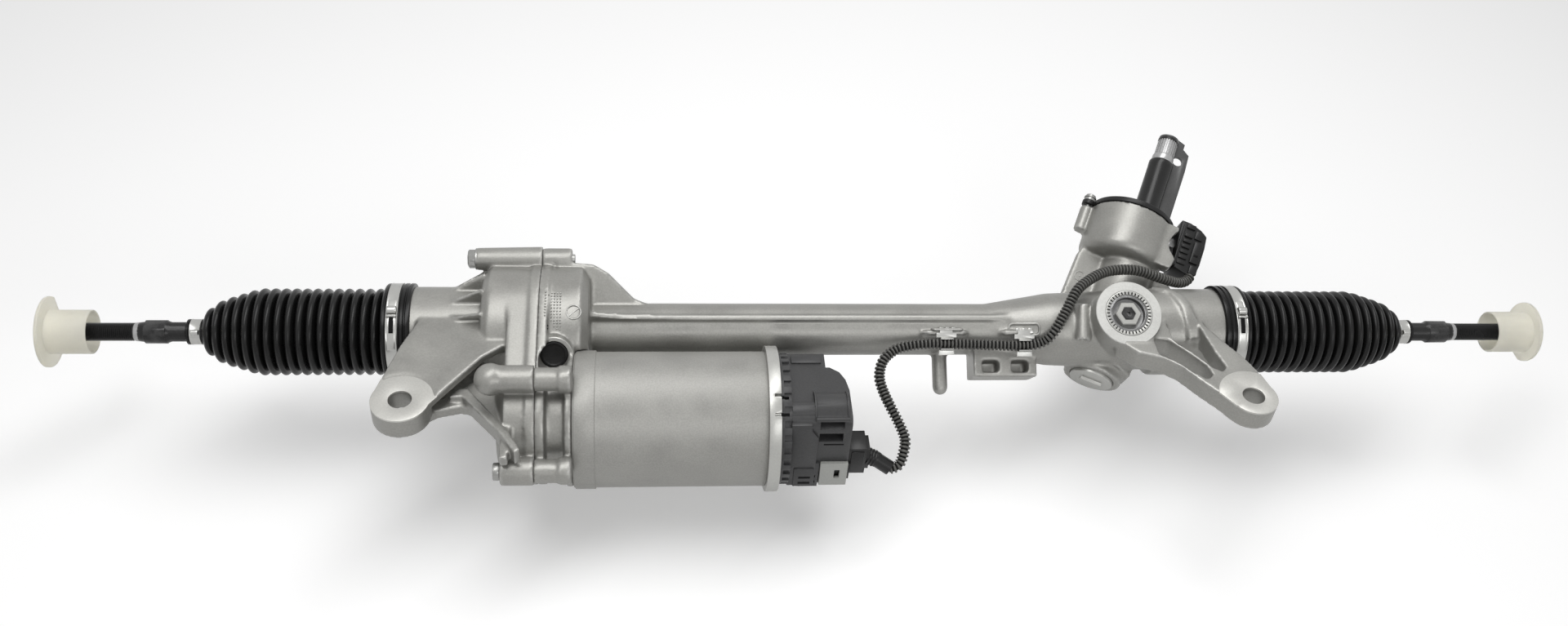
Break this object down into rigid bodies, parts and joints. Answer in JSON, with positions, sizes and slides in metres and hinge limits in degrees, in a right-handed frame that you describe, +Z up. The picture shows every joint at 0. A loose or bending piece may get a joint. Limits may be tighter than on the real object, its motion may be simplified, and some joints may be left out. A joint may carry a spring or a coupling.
{
  "type": "steering rack",
  "caption": "Electric power steering rack with belt-driven ball nut, input shaft, torque sensor, rubber bellows and tie rods, bolted through two ears.",
  "frame": {"origin": "midway between the two mounting holes, on the top faces of the ears", "axes": "+X runs along the rack towards the pinion, +Y from the ears back towards the rack, +Z up along the mounting bolts"},
  "size_m": [1.184, 0.3187, 0.1621],
  "materials": {
    "cast_aluminium": "cast, fine grain",
    "machined_aluminium": "machined, bright",
    "forged_steel": "ground and dark",
    "bearing_steel": "ground",
    "zinc_steel": "zinc plated",
    "pulley_plastic": "satin",
    "magnet": "matt",
    "copper_wire": "enamelled copper",
    "unit_plastic": "dark satin",
    "black_plastic": "black satin",
    "grey_plastic": "grey satin",
    "board_green": "lacquered board",
    "sleeve_plastic": "corrugated, satin",
    "black_rubber": "satin",
    "seat_plastic": "low friction, satin",
    "milky_plastic": "thin translucent plastic"
  },
  "bodies": {
    "housing": {"main_housing": "cast_aluminium", "belt_housing": "cast_aluminium", "through_bolts": "forged_steel", "blanking_plug": "black_plastic", "rack_bush": "bearing_steel", "stop_dampers": "black_rubber", "motor_casing": "cast_aluminium", "motor_end_plate": "machined_aluminium", "stator_core": "bearing_steel", "stator_windings": "copper_wire", "motor_front_bearing": "bearing_steel", "motor_rear_bearing": "bearing_steel", "ecu_housing": "unit_plastic", "ecu_board": "board_green", "ecu_header": "grey_plastic", "ecu_plug": "black_plastic", "sensor_cable": "sleeve_plastic", "cable_clips": "zinc_steel", "sensor_plug": "black_plastic", "sensor_cover": "black_plastic", "sensor_board": "board_green", "cover_screws": "black_plastic", "pinion_upper_bearing": "bearing_steel", "pinion_lower_bearing": "bearing_steel", "pinion_plug": "machined_aluminium", "yoke": "machined_aluminium", "yoke_spring": "bearing_steel", "yoke_plug": "forged_steel", "yoke_lock_ring": "machined_aluminium", "nut_bearing": "bearing_steel", "drive_belt": "black_rubber", "left_bellows": "black_rubber", "right_bellows": "black_rubber", "left_big_clamp": "zinc_steel", "right_big_clamp": "zinc_steel"},
    "rack": {"rack_bar": "forged_steel", "left_ball_socket": "forged_steel", "right_ball_socket": "forged_steel", "left_ball_seat": "seat_plastic", "right_ball_seat": "seat_plastic"},
    "pinion": {"pinion_shaft": "forged_steel", "pinion_nut": "forged_steel", "input_shaft": "forged_steel", "torsion_bar": "forged_steel", "sensor_magnet": "magnet", "shaft_guard": "unit_plastic"},
    "nut": {"ball_nut": "forged_steel", "ball_train": "bearing_steel", "driven_pulley": "pulley_plastic"},
    "rotor": {"motor_shaft": "forged_steel", "rotor_magnets": "magnet", "drive_pulley": "pulley_plastic"},
    "left_tie": {"left_tie_rod": "forged_steel", "left_small_clamp": "zinc_steel"},
    "right_tie": {"right_tie_rod": "forged_steel", "right_small_clamp": "zinc_steel"},
    "left_cap_body": {"left_cap": "milky_plastic"},
    "right_cap_body": {"right_cap": "milky_plastic"}
  },
  "joints": [
    {"name": "rack_slide", "type": "slide", "parent": "housing", "child": "rack", "axis": [1, 0, 0], "range_m": [-0.075, 0.075], "deforming": ["left_bellows", "right_bellows"]},
    {"name": "pinion_turn", "type": "hinge", "parent": "housing", "child": "pinion", "pos_m": [0.2355, 0.10945, -0.04589], "axis": [0.3907, 0.8128, 0.4322], "range_deg": [-441, 441]},
    {"name": "nut_spin", "type": "hinge", "parent": "housing", "child": "nut", "pos_m": [-0.235, 0.101, -0.03], "axis": [1, 0, 0], "range_deg": [-3380, 3380], "deforming": ["drive_belt"]},
    {"name": "motor_spin", "type": "hinge", "parent": "housing", "child": "rotor", "pos_m": [-0.12, 0.02554, -0.04952], "axis": [1, 0, 0], "range_deg": [-9330, 9330]},
    {"name": "left_tie_swing", "type": "hinge", "parent": "rack", "child": "left_tie", "pos_m": [-0.412, 0.101, -0.03], "axis": [0, 1, 0], "range_deg": [-18, 18]},
    {"name": "right_tie_swing", "type": "hinge", "parent": "rack", "child": "right_tie", "pos_m": [0.412, 0.101, -0.03], "axis": [0, 1, 0], "range_deg": [-18, 18]},
    {"name": "left_cap_pull", "type": "slide", "parent": "left_tie", "child": "left_cap_body", "axis": [-1, 0, 0], "range_m": [0, 0.06]},
    {"name": "right_cap_pull", "type": "slide", "parent": "right_tie", "child": "right_cap_body", "axis": [1, 0, 0], "range_m": [0, 0.06]}
  ],
  "couplings": [
    {"joint": "pinion_turn", "follows": "rack_slide", "rad_per_m": 102.28},
    {"joint": "nut_spin", "follows": "rack_slide", "rad_per_m": -785.4},
    {"joint": "motor_spin", "follows": "rack_slide", "rad_per_m": -2166.6}
  ]
}
